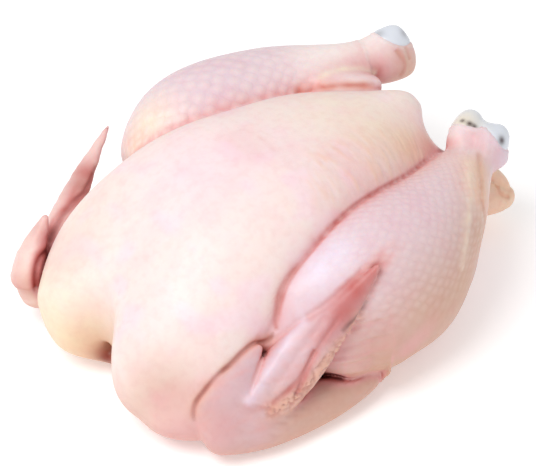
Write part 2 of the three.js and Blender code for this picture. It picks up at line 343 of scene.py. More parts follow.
def limb_distance(limb):
    """A limb's distance over the whole grid. It is worked out in a box round the limb, and is FAR outside."""
    rows = np.array(limb, float)
    margin = rows[:, 3:].max() + LIMB_MARGIN
    low = ((rows[:, :3].min(axis=0) - margin - GRID_LOW) / STEP).astype(int)
    high = ((rows[:, :3].max(axis=0) + margin - GRID_LOW) / STEP).astype(int)
    near = tuple(slice(max(a, 0), max(b, 1)) for a, b in zip(low, high))
    field = np.full([len(axis) for axis in grid_axes], FAR, np.float32)
    field[near] = distance(limb_level(limb, *place(near)))
    return field


def ramp(t, low, high):
    """0 below low, 1 above high, and a smooth S between."""
    s = np.clip((t - low) / (high - low), 0, 1)
    return s * s * (3 - 2 * s)


# The fillets that fill the corner where a form meets what it is joined to, or round the rim where it is cut.
RUMP_FILLET, SWELL_FILLET, TAIL_FILLET, CURL_FILLET = 14, 12, 8, 1.5
THIGH_FILLET, PAD_FILLET, KNOB_FILLET = 16, {"right": 10, "left": 17}, 6
HAND_FILLET, THUMB_FILLET, WEB_FILLET, GAP_FILLET = 1.5, 1.2, 1.5, 1.5
VENT_FILLET, HOLE_FILLET, REST_FILLET = 5, 3, 1.5
LIMB_FILLET = 2
WING_FILLET = 1.2


def leg_distance(side_name, side):
    """A leg: thigh and drumstick, with the pads of flesh beside them and the knobs of the hock."""
    leg = joined(limb_distance(side["thigh"]), limb_distance(side["drumstick"]), THIGH_FILLET)
    for pad in side["pads"]:
        leg = joined(leg, limb_distance(pad), PAD_FILLET[side_name])
    for knob in side["hock"]:
        leg = joined(leg, limb_distance(knob), KNOB_FILLET)
    return leg


def outer_wing_distance(side):
    """A wing past its elbow: the forearm, the hand that is folded back over it, the thumb and, if it shows,
    the web of skin between them. At the wrist, which is their front end, the fillet is wider by 6 mm."""
    hand = joined(limb_distance(side["hand"]), limb_distance(side["thumb"]), THUMB_FILLET)
    at_wrist = 1 - ramp(grid_x, -90, -72)
    wing = joined(limb_distance(side["forearm"]), hand, HAND_FILLET + 6 * at_wrist)
    if "web" in side:
        wing = joined(wing, limb_distance(side["web"]), WEB_FILLET)
    return wing


grid_x, grid_y, grid_z = place((slice(None),) * 3)
whole = distance(body_level(grid_x, grid_y, grid_z))
whole = joined(whole, limb_distance(RUMP), RUMP_FILLET)
whole = joined(whole, limb_distance(SWELL), SWELL_FILLET)
whole = joined(whole, limb_distance(TAIL), TAIL_FILLET)
for fold in TAIL_CURL:
    whole = joined(whole, limb_distance(fold), CURL_FILLET)
whole = without(whole, limb_distance(NECK_HOLE), HOLE_FILLET)
whole = without(whole, limb_distance(VENT_EDGE), HOLE_FILLET)

# Legs and wings lie against the body in creases, and their fillets are wider where they grow out of it: by
# 13 mm for a leg low down, by 14 mm for an upper arm at the shoulder, and by 2.5 mm at the right elbow.
low_down = 1 - ramp(grid_z, 14, 40)
at_shoulder = 1 - ramp(grid_x, -80, -40)
at_elbow = ramp(grid_x, -16, -5) * (1 - ramp(grid_z, 20, 35))
legs = {}
wings = {}
for side_name, side in (("right", RIGHT), ("left", LEFT)):
    legs[side_name] = leg_distance(side_name, side)
    arm = limb_distance(side["upper arm"])
    outer_wing = outer_wing_distance(side)
    wings[side_name] = np.minimum(arm, outer_wing)
    whole = joined(whole, legs[side_name], LIMB_FILLET + 13 * low_down)
    whole = joined(whole, arm, LIMB_FILLET + 14 * at_shoulder)
    if side_name == "right":
        whole = without(whole, limb_distance(ELBOW_GAP), GAP_FILLET)
    whole = joined(whole, outer_wing, WING_FILLET + 2.5 * at_elbow)
whole = without(whole, limb_distance(VENT), VENT_FILLET)
whole = without(whole, grid_z - REST_HEIGHT, REST_FILLET)

# The corners of a cell of the grid, and the steps along its axes.
CORNERS = [np.array((i, j, k)) for i in (0, 1) for j in (0, 1) for k in (0, 1)]
UNITS = np.eye(3, dtype=int)


def net(field):
    """Vertices and quads on the zero level of a field. Each cell of the grid that the level crosses holds
    one vertex, at the mean of the crossings on its edges, and each crossed edge of the grid joins the four
    cells round it in a face."""
    inside = field < 0
    cut = tuple(n - 1 for n in field.shape)
    filled = np.zeros(cut, np.int8)
    for corner in CORNERS:
        filled += inside[tuple(slice(c, c + n) for c, n in zip(corner, cut))]
    cells = np.argwhere((filled > 0) & (filled < 8))
    number = np.full(cut, -1, np.int32)
    number[tuple(cells.T)] = np.arange(len(cells))
    total = np.zeros((len(cells), 3))
    hits = np.zeros(len(cells))
    for corner in CORNERS:
        for unit in UNITS:
            if corner @ unit:
                continue
            first = field[tuple((cells + corner).T)]
            second = field[tuple((cells + corner + unit).T)]
            crossed = (first < 0) != (second < 0)
            part = np.where(crossed, first / np.where(crossed, first - second, 1), 0)
            total += crossed[:, None] * (cells + corner + part[:, None] * unit)
            hits += crossed
    vertices = GRID_LOW + STEP * total / hits[:, None]
    faces = []
    for axis in range(3):
        u, v = UNITS[(axis + 1) % 3], UNITS[(axis + 2) % 3]
        low_end = np.take(inside, range(cut[axis]), axis)
        high_end = np.take(inside, range(1, cut[axis] + 1), axis)
        edges = np.argwhere(low_end != high_end)
        ring = np.stack([number[tuple((edges - move).T)] for move in (0 * u, u, u + v, v)], axis=1)
        leaving = low_end[tuple(edges.T)]
        faces.append(np.where(leaving[:, None], ring, ring[:, ::-1]))
    return vertices, np.concatenate(faces)


def sample(field, points):
    """A field at any points, mixed straight between the eight corners of each point's cell."""
    at = np.clip((points - GRID_LOW) / STEP, 0, np.array(field.shape) - 1.001)
    i = at.astype(int)
    f = at - i
    value = np.zeros(len(points))
    for corner in CORNERS:
        weight = np.prod(np.where(corner == 1, f, 1 - f), axis=1)
        value += weight * field[tuple((i + corner).T)]
    return value


def neighbours(faces):
    """Both ends of every edge of the faces, in either direction."""
    ends = np.concatenate([faces[:, [0, 1]], faces[:, [1, 2]], faces[:, [2, 3]], faces[:, [3, 0]]])
    return np.concatenate([ends, ends[:, ::-1]])


def average(values, ends):
    """For each vertex, the mean of a value over its neighbours."""
    count = np.bincount(ends[:, 0], minlength=len(values))
    return np.stack([
        np.bincount(ends[:, 0], values[ends[:, 1], c], len(values)) / count for c in range(values.shape[1])
    ], axis=1)


def slopes(field, points):
    """A field's slope at any points, from samples half a step to either side."""
    halves = STEP / 2 * UNITS
    return np.stack([
        (sample(field, points + half) - sample(field, points - half)) / STEP for half in halves
    ], axis=1)


def smooth_net(field):
    """The net of a field, evened out: three times each vertex goes half way to the mean of its neighbours,
    and then back along the slope onto the zero level."""
    vertices, faces = net(field)
    ends = neighbours(faces)
    for _ in range(3):
        vertices = 0.5 * vertices + 0.5 * average(vertices, ends)
        slope = slopes(field, vertices)
        vertices -= (sample(field, vertices) / (slope**2).sum(axis=1))[:, None] * slope
    return vertices, faces


vertices, faces = smooth_net(whole)


def make_mesh(name, vertices, faces):
    """A mesh from arrays of vertices, in metres, and of faces that all have as many corners."""
    mesh = bpy.data.meshes.new(name)
    corners = faces.shape[1]
    mesh.vertices.add(len(vertices))
    mesh.vertices.foreach_set("co", vertices.ravel())
    mesh.loops.add(faces.size)
    mesh.loops.foreach_set("vertex_index", faces.ravel())
    mesh.polygons.add(len(faces))
    mesh.polygons.foreach_set("loop_start", np.arange(0, faces.size, corners))
    mesh.polygons.foreach_set("loop_total", np.full(len(faces), corners))
    mesh.update(calc_edges=True)
    mesh.validate()
    mesh.shade_smooth()
    return mesh


def snapped(points):
    """Points moved along the field's slope until they lie on the skin."""
    for _ in range(8):
        slope = slopes(whole, points)
        points = points - (sample(whole, points) / np.maximum((slope**2).sum(axis=1), 0.2))[:, None] * slope
    return points


LINE_SPACING = 1.0  # of the points on a drawn line


def line(points, route, half_width):
    """1 on a line drawn on the skin through a route of points. It falls away to the sides as a bell of that
    half width, and thins out over the last tenth at both ends."""
    length = np.linalg.norm(np.diff(np.array(route, float), axis=0), axis=1).sum()
    share = np.linspace(0, 1, int(length / LINE_SPACING))
    drawn = snapped(through(route, share))
    low, high = drawn.min(axis=0) - 3 * half_width, drawn.max(axis=0) + 3 * half_width
    near = np.all((points > low) & (points < high), axis=1)
    apart = points[near, None] - drawn[None]
    nearest = (apart**2).sum(axis=2).argmin(axis=1)
    tangent = np.gradient(drawn, axis=0)
    tangent /= np.linalg.norm(tangent, axis=1, keepdims=True)
    offset = apart[np.arange(len(nearest)), nearest]
    forward = np.clip((offset * tangent[nearest]).sum(axis=1), -LINE_SPACING / 2, LINE_SPACING / 2)
    offset -= forward[:, None] * tangent[nearest]
    ends = ramp(share, 0, 0.1) * ramp(1 - share, 0, 0.1)
    amount = np.zeros(len(points))
    amount[near] = np.exp(-(offset**2).sum(axis=1) / half_width**2) * ends[nearest]
    return amount


# Lines drawn on the skin, each a route of points near it.
LINES = {
    "breast over wing": [[-94, -67, 25], [-92, -65, 33], [-86, -65, 39], [-78, -65, 44], [-72, -65, 46],
                         [-65, -64, 48], [-58, -63, 49], [-50, -63, 46], [-44, -63, 48]],
    "breast over leg": [[-44, -62, 50], [-41, -60.5, 57], [-37, -59, 62], [-32, -57, 67], [-26, -55.5, 71],
                        [-19, -54, 74], [-3, -50, 79], [11, -47, 81], [22, -45, 81], [36, -43, 80],
                        [46, -41, 78], [57, -38, 75], [70, -33, 72], [83, -28, 68]],
    "thumb over hand": [[-54, -68, 46], [-57, -69, 44], [-62, -72, 41], [-67, -75, 38], [-71, -77, 35]],
    "slit in the hand": [[-53, -88, 33], [-51, -88, 35], [-47, -87, 40], [-42, -85, 46], [-38, -84, 50]],
    "web": [[-68, -82, 27], [-60, -85, 29], [-52, -87, 32], [-44, -87, 36], [-33, -86, 44], [-21, -83, 52],
            [-12, -83, 61]],
    "hand over web": [[-66, -85, 31], [-58, -86, 35], [-50, -86, 39], [-42, -85, 46], [-33, -84, 54],
                      [-22, -83, 62]],
    "hand ridge": [[-74, -78, 31], [-66, -77, 38], [-58, -76, 42], [-44, -73, 52], [-33, -73, 58]],
    "hand hollow": [[-64, -82, 34], [-55, -81, 41], [-42, -80, 51], [-28, -79, 61]],
    "rear fold": [[98, -43, 74], [92, -51, 73], [85, -60, 71], [77, -68, 68], [73, -73, 60], [69, -76, 49]],
    "rear edge": [[90, -44, 77], [83, -53, 77], [74, -64, 76], [65, -72, 73], [56, -80, 69], [49, -85, 62],
                  [44, -89, 53]],
    "left hock fold": [[107, 32, 88], [108, 30, 85], [110, 28, 81], [109, 28, 77], [106, 28, 74]],
    "left hock bend": [[113, 32, 87], [114, 30, 84], [114, 28, 80]],
    "under the left shank": [[60, 38, 85], [68, 36, 86], [76, 34, 85], [85, 33, 83], [95, 32, 79]],
    "left leg edge": [[-38, 51, 76], [-24, 52, 81], [-5, 47.5, 86], [12, 45, 88], [27, 42, 86], [39, 40, 85],
                      [50, 38, 83], [60, 34, 83]],
    "left leg pad": [[46, 40, 83.5], [50, 38, 84], [57, 34, 84.5], [62, 28, 86.5], [67, 24, 87.5],
                     [74, 20.5, 86.5], [83, 18, 85]],
    "behind the web": [[-26, -86, 54], [-19, -85, 57], [-12, -84, 59.5], [-9, -83, 63]],
    "breast over knee": [[-45, -64.5, 50], [-44.5, -62, 54], [-42.5, -59.8, 59], [-40, -58, 64],
                         [-36, -56.5, 68], [-30, -55.5, 71.5], [-22, -54.5, 73.5]],
    "inside the left wing": [[-54, 78, 56], [-63, 74, 53], [-71, 69, 51], [-78, 67, 49], [-84, 65, 46],
                             [-92, 55, 51], [-96, 52, 49], [-101, 49, 46], [-104, 46.5, 42],
                             [-107, 44.5, 37]],
    "tail crease": [[130, -27, 26], [128, -31, 24], [130, -33, 22], [134, -33, 19]],
    "left wing over breast": [[-44, 83, 55], [-58, 73, 51], [-68, 69, 50], [-79, 64, 48], [-86, 60, 46],
                              [-101, 49, 44], [-106, 44, 36], [-105, 46, 22]],
}
# Folds and creases: the line, half width and depth. A depth below 0 is a raised fold.
FOLDS = [
    ("breast over wing", 0.9, 0.7), ("breast over leg", 0.9, 0.6), ("thumb over hand", 1.0, 0.7),
    ("slit in the hand", 1.1, 1.1), ("hand over web", 0.9, 0.7), ("hand ridge", 2.2, -0.7),
    ("hand hollow", 2.0, 0.5), ("rear fold", 1.4, 0.4), ("rear edge", 2.0, -0.4),
    ("left hock fold", 1.0, 0.5), ("left hock bend", 0.9, 0.4), ("tail crease", 1.0, 0.8),
    ("left wing over breast", 1.4, 1.0),
]


NOISE_SIDE = 32  # whole numbers after which the noise repeats


def rough(points, seed):
    """Uneven noise from -1 to 1: a random number at every whole number of a cubic lattice, and S curves from
    one to the next."""
    lattice = np.random.default_rng(seed).uniform(-1, 1, (NOISE_SIDE,) * 3)
    i = np.floor(points).astype(int)
    f = points - i
    f = f * f * (3 - 2 * f)
    value = np.zeros(len(points))
    for corner in CORNERS:
        weight = np.prod(np.where(corner == 1, f, 1 - f), axis=1)
        value += weight * lattice[tuple(((i + corner) % NOISE_SIDE).T)]
    return value


def wrinkles(points, across, spacing, length, seed):
    """Uneven wrinkles from -1 to 1: noise that is drawn out. It changes over the spacing in the direction
    across, and over the length in the others."""
    across = np.array(across) / np.linalg.norm(across)
    return rough(points / length + np.outer(points @ across, across) * (1 / spacing - 1 / length), seed)


def patch(points, centre, radius):
    """1 at a centre and fading to 0 over about a radius, as a bell."""
    return np.exp(-((points - centre) ** 2).sum(axis=1) / radius**2)


def on(field, points):
    """1 where points lie on the surface of one limb or body, 0 where they lie well off it."""
    return 1 - ramp(np.abs(sample(field, points)), 0.5, 3.0)


def flank(points):
    """1 on the breast's right side above the leg, where the skin is drawn into fine wrinkles."""
    x, y, _ = points.T
    band = ramp(y, -48, -40) * (1 - ramp(y, -26, -10)) * ramp(x, -30, 15) * (1 - ramp(x, 70, 92))
    return band * (1 - on(legs["right"], points))


def flank_wrinkles(points):
    """Wrinkles that run up the breast's right side from the leg, at two spacings."""
    coarse = wrinkles(points, [1, 0.35, -0.2], 2.3, 14, 1)
    return 0.6 * coarse + 0.4 * wrinkles(points, [1, 0.2, -0.5], 1.3, 8, 2)


def crumples(points):
    """Small folds in loose skin: about -1 at the bottom of a crease, where the noise changes sign, and 0.5
    between creases, with finer noise over it."""
    return np.minimum(np.abs(rough(points / 2.4, 3)) * 4, 1.5) - 1 + 0.3 * rough(points / 1.3, 4)


# Wrinkled skin: the limb, and the patch's centre and radius; then the wrinkles' height, the direction across
# them, their spacing and length, and the seed of their noise.
WRIST = ([-62, -86, 28], 14)
WRIST_WRINKLES = ([0.5, 0.1, 0.85], 2.2, 7, 15)
WRINKLED = [
    (legs["right"], ([-13, -90, 40], 20), 0.9, ([0.1, 0.3, 0.95], 2.2, 16, 5)),
    (legs["right"], ([95, -40, 74], 13), 0.35, ([0.55, -0.8, 0.1], 1.5, 9, 13)),
    (legs["left"], ([-16, 53, 83], 15), 0.5, ([-0.5, 0.9, -0.7], 1.9, 16, 6)),
    (wings["right"], WRIST, 0.6, WRIST_WRINKLES),
    (wings["right"], ([-50, -78, 44], 30), 0.12, ([0.2, 1, 0.6], 1.6, 8, 7)),
    (wings["left"], ([-65, 70, 40], np.inf), 0.3, ([0.2, 0.5, 1], 2.2, 12, 8)),
]
FLANK_HEIGHT = 0.3
WEB_HEIGHT = 0.7
WEB_HALF_WIDTH = 4.0
TAIL_HEIGHT = 0.25
TAIL_LUMPS = 2.5
# The skin's cut rim stands up round a joint end, a little outside its ball.
RIM_HEIGHT = 0.5
RIM_HALF_WIDTH = 0.9
RIM_OUT = 0.8


def relief(points):
    """How far the skin stands out from the smooth field, in millimetres: folds, wrinkles, the crumpled web,
    the lumpy tail and the rims of the joint ends."""
    height = -sum(depth * line(points, LINES[name], half_width) for name, half_width, depth in FOLDS)
    for limb, spot, ridge, drawn in WRINKLED:
        height += ridge * on(limb, points) * patch(points, *spot) * wrinkles(points, *drawn)
    height += FLANK_HEIGHT * flank(points) * flank_wrinkles(points)
    height += WEB_HEIGHT * line(points, LINES["web"], WEB_HALF_WIDTH) * crumples(points)
    height += TAIL_HEIGHT * patch(points, [128, -26, 22], 15) * rough(points / TAIL_LUMPS, 9)
    for _, middle, radius in JOINT_ENDS:
        out = np.linalg.norm(points - middle, axis=1) - radius - RIM_OUT
        height += RIM_HEIGHT * np.exp(-((out / RIM_HALF_WIDTH) ** 2))
    return height


def kept_inside(points, low, high, margin):
    """Points within a box. Over the last margin before its sides and top, and past them, they are drawn in
    by a hyperbolic tangent that never reaches the side."""
    over = np.maximum(points - (high - margin), 0)
    under = np.maximum(low + margin - points, 0)
    under[:, 2] = 0
    inside = np.clip(points, np.where([0, 0, 1], -np.inf, low + margin), high - margin)
    return inside + margin * np.tanh(over / margin) - margin * np.tanh(under / margin)


BOX_LOW, BOX_HIGH = [np.array(corner) / MM - SHIFT for corner in cad_bounds]
BOX_MARGIN = 1.5
SKIN_TRIANGLES = 195000

# The relief stands out along the normals, and dies away over the last 3 mm above the board.
slope = slopes(whole, vertices)
normals = slope / np.linalg.norm(slope, axis=1, keepdims=True)
off_board = ramp(vertices[:, 2], REST_HEIGHT + 0.3, REST_HEIGHT + 3)
vertices += (relief(vertices) * off_board)[:, None] * normals
vertices = kept_inside(vertices, BOX_LOW, BOX_HIGH, BOX_MARGIN)

skin = bpy.data.objects.new("skin", make_mesh("skin", (vertices + SHIFT) * MM, faces))
bpy.context.collection.objects.link(skin)
thin = skin.modifiers.new("fewer triangles", "DECIMATE")
thin.ratio = SKIN_TRIANGLES / (2 * len(faces))
bpy.context.view_layer.objects.active = skin
bpy.ops.object.modifier_apply(modifier=thin.name)


def paint(red, green, blue):
    """A linear colour from the usual values of 0 to 255."""
    part = np.array([red, green, blue]) / 255
    return np.where(part <= 0.04045, part / 12.92, ((part + 0.055) / 1.055) ** 2.4)


WHITE = paint(253, 240, 234)
PALE = paint(246, 226, 221)
PINK = paint(250, 220, 229)
LILAC = paint(236, 226, 242)
CREAM = paint(245, 229, 206)
YELLOW = paint(240, 220, 172)
PEACH = paint(242, 200, 166)
ORANGE = paint(228, 140, 98)
TAN = paint(206, 160, 128)
WEB = paint(227, 178, 158)
MAUVE = paint(230, 206, 214)
ROSE = paint(228, 170, 168)
WING = paint(218, 184, 190)
RED_WING = paint(240, 208, 202)
RED = paint(188, 86, 78)
RUST = paint(205, 142, 108)
BROWN = paint(158, 96, 72)
GROOVE_SHADE = paint(172, 92, 78)
TAIL_SKIN = paint(252, 216, 186)
BLOOD_AND_SHADE = paint(130, 48, 26)
DARK = paint(88, 34, 27)
SHADE = paint(204, 150, 132)

# Where the skin's tint changes: centre, radius, colour and strength. Some are painted shade, as marked.
PATCHES = [
    ([-35, 8, 96], 28, PINK, 0.6),
    ([0, -12, 97], 20, PINK, 0.3),
    ([48, 4, 94], 30, CREAM, 0.5),
    ([50, -20, 92], 16, CREAM, 0.6),
    ([-107, 9, 25], 20, YELLOW, 0.8),
    ([-106, 22, 42], 22, CREAM, 0.7),
    ([-104, 30, 30], 16, YELLOW, 0.5),
    ([-75, 40, 60], 22, CREAM, 0.4),
    ([-97, 2, 25], 15, TAN, 0.5),
    ([-96, -1, 19], 9, RUST, 0.8),
    # Dark red-brown in the neck hole: partly the flesh's own colour, partly painted shade.
    ([-96, 0, 15.5], 6, BLOOD_AND_SHADE, 1.0),
    # Painted shade, in tan and rose, under the right front lobe of the breast.
    ([-102, -54, 36], 20, TAN, 0.55),
    ([-97, -64, 19], 13, ROSE, 0.6),
    ([23, -36, 82], 20, ROSE, 0.4),
    ([52, -34, 82], 20, ROSE, 0.3),
    ([62, -28, 80], 13, PEACH, 0.7),
    ([79, -26, 72], 12, ORANGE, 0.45),
    ([84, -28, 69], 8, RED, 0.5),
    ([-24, 63, 85], 15, CREAM, 0.8),
    ([-34, 60, 74], 10, PEACH, 0.6),
    ([-20, -61, 73], 9, LILAC, 0.8),
    ([-8, -63, 78], 8, LILAC, 0.6),
    # Darker tan low on the right leg and towards its rear: partly the skin's own tan, partly painted shade.
    ([20, -94, 45], 28, TAN, 0.7),
    ([48, -88, 45], 24, TAN, 0.8),
    ([64, -78, 58], 18, TAN, 0.75),
    ([78, -64, 68], 13, PEACH, 0.8),
    ([88, -52, 72], 12, PEACH, 0.7),
    ([130, -26, 20], 24, TAIL_SKIN, 0.95),
    ([134, -28, 15], 12, PEACH, 0.5),
    # Painted shade under the right thigh, along the right forearm, where it is partly the skin's own tan, and
    # at the wrist.
    ([-10, -90, 36], 18, SHADE, 0.6),
    ([0, -88, 18], 22, TAN, 0.7),
    ([-30, -92, 15], 18, TAN, 0.6),
    ([-52, -90, 18], 20, TAN, 0.6),
    ([-88, -77, 22], 14, SHADE, 0.35),
    ([104, -36, 68], 10, PINK, 0.5),
    ([112, -44, 60], 9, LILAC, 0.6),
    ([112, 32, 76], 11, PEACH, 0.8),
    ([88, 43, 92], 26, WHITE, 0.9),
    ([68, 50, 92], 14, WHITE, 0.5),
    ([98, -28, 74], 13, WHITE, 0.5),
    ([110, 29, 80], 9, TAN, 0.5),
]
# The same on the wings alone.
WING_PATCHES = [
    ([-13, -79, 70], 9, RED, 0.95),
    ([-22, -82, 62], 9, RED, 0.75),
    ([-3, -80, 76], 8, RED, 0.95),
    ([-32, -82, 54], 8, RED, 0.35),
    ([-53, 80, 55], 7, RED, 0.75),
    ([-66, 71, 50], 6, RED, 0.5),
    ([-92, 56, 50], 6, RED, 0.7),
    ([-110, 49, 34], 7, RED, 0.6),
    ([-60, 75, 53], 5, BROWN, 0.6),
]
# Where the painted crease shade is left out, at the neck, or weakened, at the tail's end, so that those
# colours show: centre and radius.
NECK = ([-96, 0, 19], 16)
TAIL_END = ([130, -26, 20], 18)
# Colour along the lines: the line, half width, colour and strength. On the creases between breast, legs and
# wings, and where the hand lies over the web, the red and rose are partly the skin's own redness and partly
# painted shade, and the dark is painted shade; the dark behind the web is a painted shadow in the gap there,
# and the lilac along the hand ridge is partly the skin's own tone and partly a painted highlight.
LINE_TINTS = [
    ("breast over wing", 2.8, PEACH, 0.5), ("breast over wing", 1.3, RED, 0.8),
    ("breast over wing", 0.8, DARK, 0.7), ("breast over leg", 5.0, ROSE, 0.45),
    ("breast over leg", 1.1, RED, 0.95), ("left leg edge", 6.0, ROSE, 0.6),
    ("thumb over hand", 1.4, ROSE, 0.6), ("slit in the hand", 1.6, RED, 1.0),
    ("hand over web", 1.5, RED, 0.7), ("hand ridge", 3.0, LILAC, 0.6), ("rear fold", 2.2, RUST, 0.5),
    ("rear edge", 2.6, CREAM, 0.6), ("left hock fold", 1.8, RUST, 0.6), ("left hock bend", 1.3, RUST, 0.5),
    ("under the left shank", 2.2, CREAM, 0.6), ("tail crease", 1.6, ORANGE, 0.9),
    ("left leg pad", 3.2, ORANGE, 0.6), ("left leg pad", 1.4, RED, 0.6), ("behind the web", 1.3, DARK, 0.6),
    ("breast over knee", 2.2, RUST, 0.25), ("breast over knee", 1.0, RED, 0.6),
    ("inside the left wing", 3.6, ROSE, 0.6), ("inside the left wing", 1.6, RED, 0.5),
    ("left wing over breast", 2.8, RED, 0.8), ("left wing over breast", 1.2, DARK, 0.6),
]
# Painted shade in creases: the colour, its strength, and how closed the crease is where it comes in and is
# full. The rose and red are partly the skin's own redness in its creases and partly painted shade; the dark
# is painted shade.
CREASE_SHADE_TINTS = [(ROSE, 0.8, 0.15, 0.55), (RED, 0.8, 0.5, 0.85), (DARK, 0.9, 0.78, 1.0)]


def tinted(colours, target, amount):
    """Colours mixed with another by an amount from 0 to 1 at each point."""
    return colours + (target - colours) * np.clip(amount, 0, 1)[:, None]


def closed_in(points, outward):
    """0 in the open and towards 1 in a crease: how far the field falls short of the distance at 2, 4 and 8 mm
    off the skin, as a share of it."""
    open_share = sum(np.clip(sample(whole, points + reach * outward) / reach, 0, 1) for reach in (2, 4, 8))
    return 1 - open_share / 3


def skin_colours(points, outward):
    """The skin's tint at each point: a base for each limb, then painted shade below, patches, some of them
    painted shade, loose skin with painted shade in its grooves, painted shade in creases, and fold lines over
    it."""
    right_leg, left_leg = on(legs["right"], points), on(legs["left"], points)
    right_wing, left_wing = on(wings["right"], points), on(wings["left"], points)
    colours = np.tile(PALE, (len(points), 1))
    colours = tinted(colours, PINK, 0.6 * ramp(rough(points / 9, 11), 0, 0.8))
    colours = tinted(colours, MAUVE, np.maximum(right_leg, left_leg))
    colours = tinted(colours, WING, right_wing)
    colours = tinted(colours, RED_WING, left_wing)
    flecks = ramp(wrinkles(points, [0.3, 1, 0.6], 2.2, 7, 12), 0, 0.8)
    colours = tinted(colours, ROSE, 0.4 * right_wing * flecks)
    # Painted shade on skin that faces down.
    colours = tinted(colours, SHADE, 0.8 * ramp(-outward[:, 2], -0.35, 0.6))
    for centre, radius, colour, strength in PATCHES:
        colours = tinted(colours, colour, strength * patch(points, centre, radius))
    for centre, radius, colour, strength in WING_PATCHES:
        amount = strength * np.maximum(right_wing, left_wing)
        colours = tinted(colours, colour, amount * patch(points, centre, radius))
    colours = tinted(colours, PEACH, 0.4 * flank(points) * ramp(flank_wrinkles(points), 0, 0.7))
    web = line(points, LINES["web"], WEB_HALF_WIDTH)
    colours = tinted(colours, WEB, web)
    # Painted shade in the grooves of the crumpled web.
    colours = tinted(colours, GROOVE_SHADE, 0.6 * web * ramp(-crumples(points), -0.2, 0.8))
    # Painted shade in the grooves of the wrinkles at the wrist.
    wrist = patch(points, *WRIST) * right_wing
    colours = tinted(colours, GROOVE_SHADE, 0.4 * wrist * ramp(-wrinkles(points, *WRIST_WRINKLES), 0.1, 0.8))
    # Painted shade in the creases.
    crease = closed_in(points, outward)
    crease *= (1 - patch(points, *NECK)) * (1 - 0.6 * patch(points, *TAIL_END))
    for colour, strength, low, high in CREASE_SHADE_TINTS:
        colours = tinted(colours, colour, strength * ramp(crease, low, high))
    uneven = 0.8 + 0.4 * rough(points / 5, 14)
    for name, half_width, colour, strength in LINE_TINTS:
        colours = tinted(colours, colour, strength * uneven * line(points, LINES[name], half_width))
    return colours


def vertex_arrays(mesh):
    """A mesh's vertices and their normals, as two arrays."""
    count = len(mesh.vertices)
    places, outward = np.empty(count * 3), np.empty(count * 3)
    mesh.vertices.foreach_get("co", places)
    mesh.vertices.foreach_get("normal", outward)
    return places.reshape(-1, 3), outward.reshape(-1, 3)


def set_colours(mesh, colours):
    """Writes one colour for each vertex into the mesh's attribute named tint."""
    layer = mesh.color_attributes.new("tint", "FLOAT_COLOR", "POINT")
    layer.data.foreach_set("color", np.hstack([colours, np.ones((len(colours), 1))]).ravel())


# The follicles of each drumstick: how many rows of them there are round it, their spacing along it in
# millimetres, how strongly they stand out, and between which two X they die away towards the hock.
FOLLICLES_ROUND = {"right": 62, "left": 38}
FOLLICLE_SPACING = {"right": 2.7, "left": 4.2}
FOLLICLE_HEIGHT = {"right": 0.45, "left": 0.85}
FOLLICLE_END = {"right": (70, 96), "left": (46, 80)}


def limb_length(limb):
    """The length of a limb's route from point to point."""
    route = np.array([row[:3] for row in limb], float)
    return np.linalg.norm(np.diff(route, axis=0), axis=1).sum()


def follicle_places(points, limb, spacing, round_count, outward):
    """Where points lie on a limb's lattice of follicles. Rows run along it and round it, and the lattice is
    turned by 45 degrees so that whole numbers fall in staggered rows. Its seam is on the body's side."""
    share, across, up = along(limb, *points.T)
    lengthwise = share * limb_length(limb) / spacing
    roundwise = np.arctan2(up, outward * across) / (2 * np.pi) * round_count
    return (lengthwise + roundwise) / 2, (lengthwise - roundwise) / 2


def follicles(points):
    """For each point its place on its side's lattice of follicles, and how strongly they stand out there."""
    table = np.zeros((len(points), 3))
    for side_name, limbs, outward in (("right", RIGHT, -1), ("left", LEFT, 1)):
        own = points[:, 1] * outward > 0
        spot = points[own]
        first, second = follicle_places(
            spot, limbs["drumstick"], FOLLICLE_SPACING[side_name], FOLLICLES_ROUND[side_name], outward
        )
        strength = FOLLICLE_HEIGHT[side_name] * on(legs[side_name], spot)
        strength *= 1 - ramp(spot[:, 0], *FOLLICLE_END[side_name])
        if side_name == "right":  # here they also die away towards the knee and down the thigh
            strength *= ramp(spot[:, 0], -32, 0) * ramp(spot[:, 2], 34, 58)
        table[own] = np.stack([first, second, strength], axis=1)
    return table


points, outward = vertex_arrays(skin.data)
points = points / MM - SHIFT
set_colours(skin.data, skin_colours(points, outward))
lattice = skin.data.attributes.new("follicles", "FLOAT_VECTOR", "POINT")
lattice.data.foreach_set("vector", follicles(points).ravel())


def ranged(nodes, links, value, low, high, at_low, at_high):
    """A value mapped from the span low to high onto the span at_low to at_high, and held at its ends."""
    span = nodes.new("ShaderNodeMapRange")
    span.inputs["From Min"].default_value = low
    span.inputs["From Max"].default_value = high
    span.inputs["To Min"].default_value = at_low
    span.inputs["To Max"].default_value = at_high
    links.new(value, span.inputs["Value"])
    return span.outputs["Result"]


def times(nodes, links, first, second):
    """The product of two values."""
    product = nodes.new("ShaderNodeMath")
    product.operation = "MULTIPLY"
    links.new(first, product.inputs[0])
    links.new(second, product.inputs[1])
    return product.outputs["Value"]


def blended(nodes, links, colour, towards, amount, mode):
    """A colour mixed with a constant one by an amount, in a mixing mode."""
    mix = nodes.new("ShaderNodeMix")
    mix.data_type = "RGBA"
    mix.blend_type = mode
    links.new(amount, mix.inputs["Factor"])
    links.new(colour, mix.inputs["A"])
    mix.inputs["B"].default_value = (*towards, 1)
    return mix.outputs["Result"]


def noise_of(nodes, links, place_of, scale, detail):
    """Noise over the object, of a scale per metre."""
    noise = nodes.new("ShaderNodeTexNoise")
    noise.inputs["Scale"].default_value = scale
    noise.inputs["Detail"].default_value = detail
    links.new(place_of.outputs["Object"], noise.inputs["Vector"])
    return noise.outputs["Fac"]


